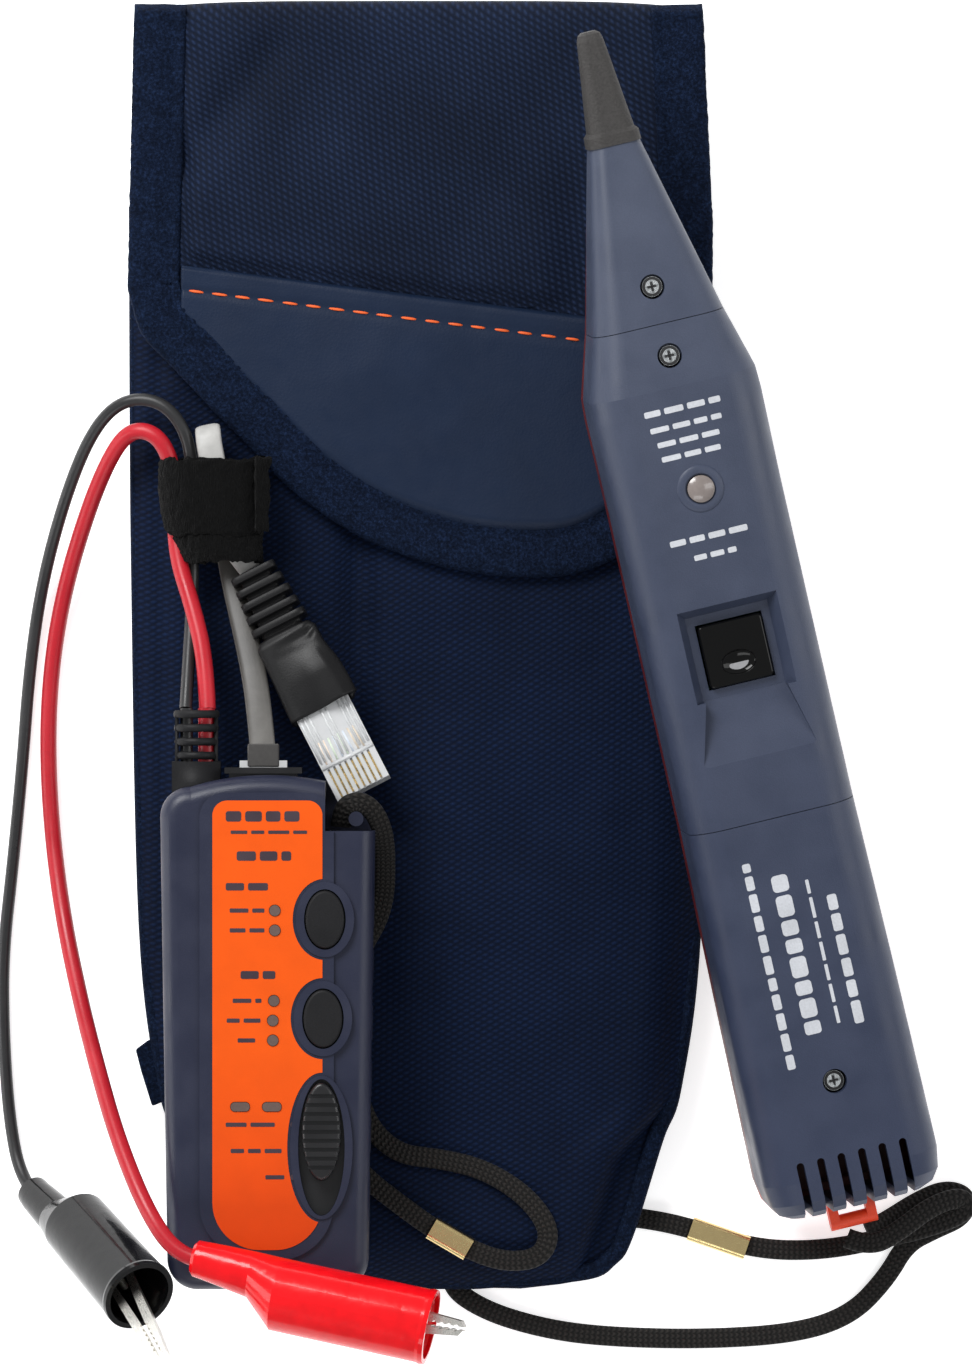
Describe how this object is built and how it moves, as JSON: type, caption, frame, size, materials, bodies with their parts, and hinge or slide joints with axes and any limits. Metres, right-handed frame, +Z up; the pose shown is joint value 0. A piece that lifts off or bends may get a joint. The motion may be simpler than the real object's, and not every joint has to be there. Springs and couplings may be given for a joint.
{
  "type": "tone probe kit",
  "caption": "Cable tracing kit: battery tone generator with leads and a hand-held inductive probe, lying on their fabric belt pouch with flap.",
  "frame": {"origin": "middle of the belt loop's outer face, on the table that the pouch lies on", "axes": "+X to the right and +Y towards the pouch's top fold, seen from the front, +Z up from the table, out of the pouch's front"},
  "size_m": [0.1998, 0.2748, 0.0658],
  "materials": {
    "pouch_fabric": "woven nylon",
    "binding_tape": "brushed tape",
    "leatherette": "smooth matte",
    "hook_and_loop": "fuzzy",
    "slate_plastic": "fine texture",
    "orange_plastic": "satin",
    "orange_label": "printed film",
    "conductive_rubber": "rough",
    "gloss_black": "gloss",
    "black_rubber": "satin",
    "black_plastic": "satin",
    "clear_lens": "pearl",
    "lamp_lens": "diffuse lens",
    "clear_plug": "clear moulding",
    "contact_brass": "plated",
    "ferrule_brass": "worn",
    "black_vinyl": "gloss vinyl",
    "red_vinyl": "gloss vinyl",
    "black_lead": "satin",
    "red_lead": "satin",
    "grey_cord": "satin",
    "lanyard_braid": "braided",
    "steel_screw": "zinc",
    "nickel_jaw": "nickel",
    "circuit_board": "solder mask",
    "battery_can": "can"
  },
  "bodies": {
    "pouch": {"back_panel": "pouch_fabric", "front_pockets": "pouch_fabric", "pocket_divider": "pouch_fabric", "pouch_binding": "binding_tape", "belt_loop": "binding_tape", "closure_loop_patch": "hook_and_loop", "probe_lanyard": "lanyard_braid", "probe_ferrule": "ferrule_brass"},
    "flap": {"flap_cover": "pouch_fabric", "flap_binding": "binding_tape", "flap_panel": "leatherette", "closure_hook_patch": "hook_and_loop"},
    "probe": {"probe_battery_cover": "slate_plastic", "probe_front_shell": "slate_plastic", "probe_nose_cover": "slate_plastic", "probe_rear_shell": "orange_plastic", "probe_tip": "conductive_rubber", "probe_antenna": "contact_brass", "probe_screws": "steel_screw", "probe_lens": "clear_lens", "probe_circuit_board": "circuit_board", "probe_button_switch": "black_plastic", "probe_speaker": "black_plastic", "probe_battery": "battery_can", "probe_battery_snap": "black_plastic"},
    "probe_button": {"probe_button": "gloss_black"},
    "toner": {"toner_front_shell": "slate_plastic", "toner_label": "orange_label", "toner_rear_shell": "slate_plastic", "toner_battery_door": "slate_plastic", "toner_screws": "steel_screw", "toner_slide_tray": "black_plastic", "toner_lamps": "lamp_lens", "toner_circuit_board": "circuit_board", "toner_switches": "black_plastic", "toner_battery": "battery_can", "line_jack": "black_plastic", "line_plug": "clear_plug", "strain_relief": "black_rubber", "black_lead": "black_lead", "red_lead": "red_lead", "line_cord": "grey_cord", "toner_lanyard": "lanyard_braid", "toner_ferrule": "ferrule_brass", "cord_wrap": "hook_and_loop", "plug_boot": "black_rubber", "network_plug": "clear_plug", "plug_contacts": "contact_brass", "black_boot": "black_vinyl", "black_lower_jaw": "nickel_jaw", "black_pivot": "steel_screw", "red_boot": "red_vinyl", "red_lower_jaw": "nickel_jaw", "red_pivot": "steel_screw"},
    "power_button": {"toner_power_button": "black_rubber"},
    "tone_button": {"toner_tone_button": "black_rubber"},
    "slide_knob": {"toner_slide_knob": "black_plastic"},
    "black_jaw": {"black_upper_jaw": "nickel_jaw"},
    "red_jaw": {"red_upper_jaw": "nickel_jaw"},
    "latch": {"plug_latch": "clear_plug"}
  },
  "joints": [
    {"name": "probe_swing", "type": "hinge", "parent": "pouch", "child": "probe", "pos_m": [0.08858, -0.11688, 0.00946], "axis": [0.9668, 0.2336, -0.1039], "range_deg": [0, 90]},
    {"name": "flap_open", "type": "hinge", "parent": "pouch", "child": "flap", "pos_m": [0, 0.1306, 0.0125], "axis": [-1, 0, 0], "range_deg": [0, 90]},
    {"name": "probe_button_press", "type": "slide", "parent": "probe", "child": "probe_button", "axis": [-0.127, 0.0864, -0.9881], "range_m": [0, 0.0008], "stiffness_N_per_m": 900, "springref_m": -0.001},
    {"name": "toner_lift", "type": "slide", "parent": "pouch", "child": "toner", "axis": [0, 0, 1], "range_m": [0, 0.12]},
    {"name": "power_button_press", "type": "slide", "parent": "toner", "child": "power_button", "axis": [0, 0, -1], "range_m": [0, 0.0006], "stiffness_N_per_m": 900, "springref_m": -0.001},
    {"name": "tone_button_press", "type": "slide", "parent": "toner", "child": "tone_button", "axis": [0, 0, -1], "range_m": [0, 0.0006], "stiffness_N_per_m": 900, "springref_m": -0.001},
    {"name": "mode_slide", "type": "slide", "parent": "toner", "child": "slide_knob", "axis": [0, -1, 0], "range_m": [0, 0.0066]},
    {"name": "black_jaw_open", "type": "hinge", "parent": "toner", "child": "black_jaw", "pos_m": [-0.0606, -0.1279, 0.0364], "axis": [-0.3521, 0.5906, 0.7261], "range_deg": [0, 10], "stiffness_Nm_per_rad": 0.05, "springref_deg": -17.19},
    {"name": "red_jaw_open", "type": "hinge", "parent": "toner", "child": "red_jaw", "pos_m": [-0.0122, -0.1333, 0.0562], "axis": [-0.1431, 0.0238, 0.9894], "range_deg": [0, 10], "stiffness_Nm_per_rad": 0.05, "springref_deg": -17.19},
    {"name": "latch_press", "type": "hinge", "parent": "toner", "child": "latch", "pos_m": [-0.01161, -0.02825, 0.02328], "axis": [0.8898, 0.4563, 0], "range_deg": [0, 6], "stiffness_Nm_per_rad": 0.02, "springref_deg": -11.46}
  ],
  "couplings": [
    {"joint": "flap_open", "follows": "probe_swing", "ratio": 1}
  ]
}
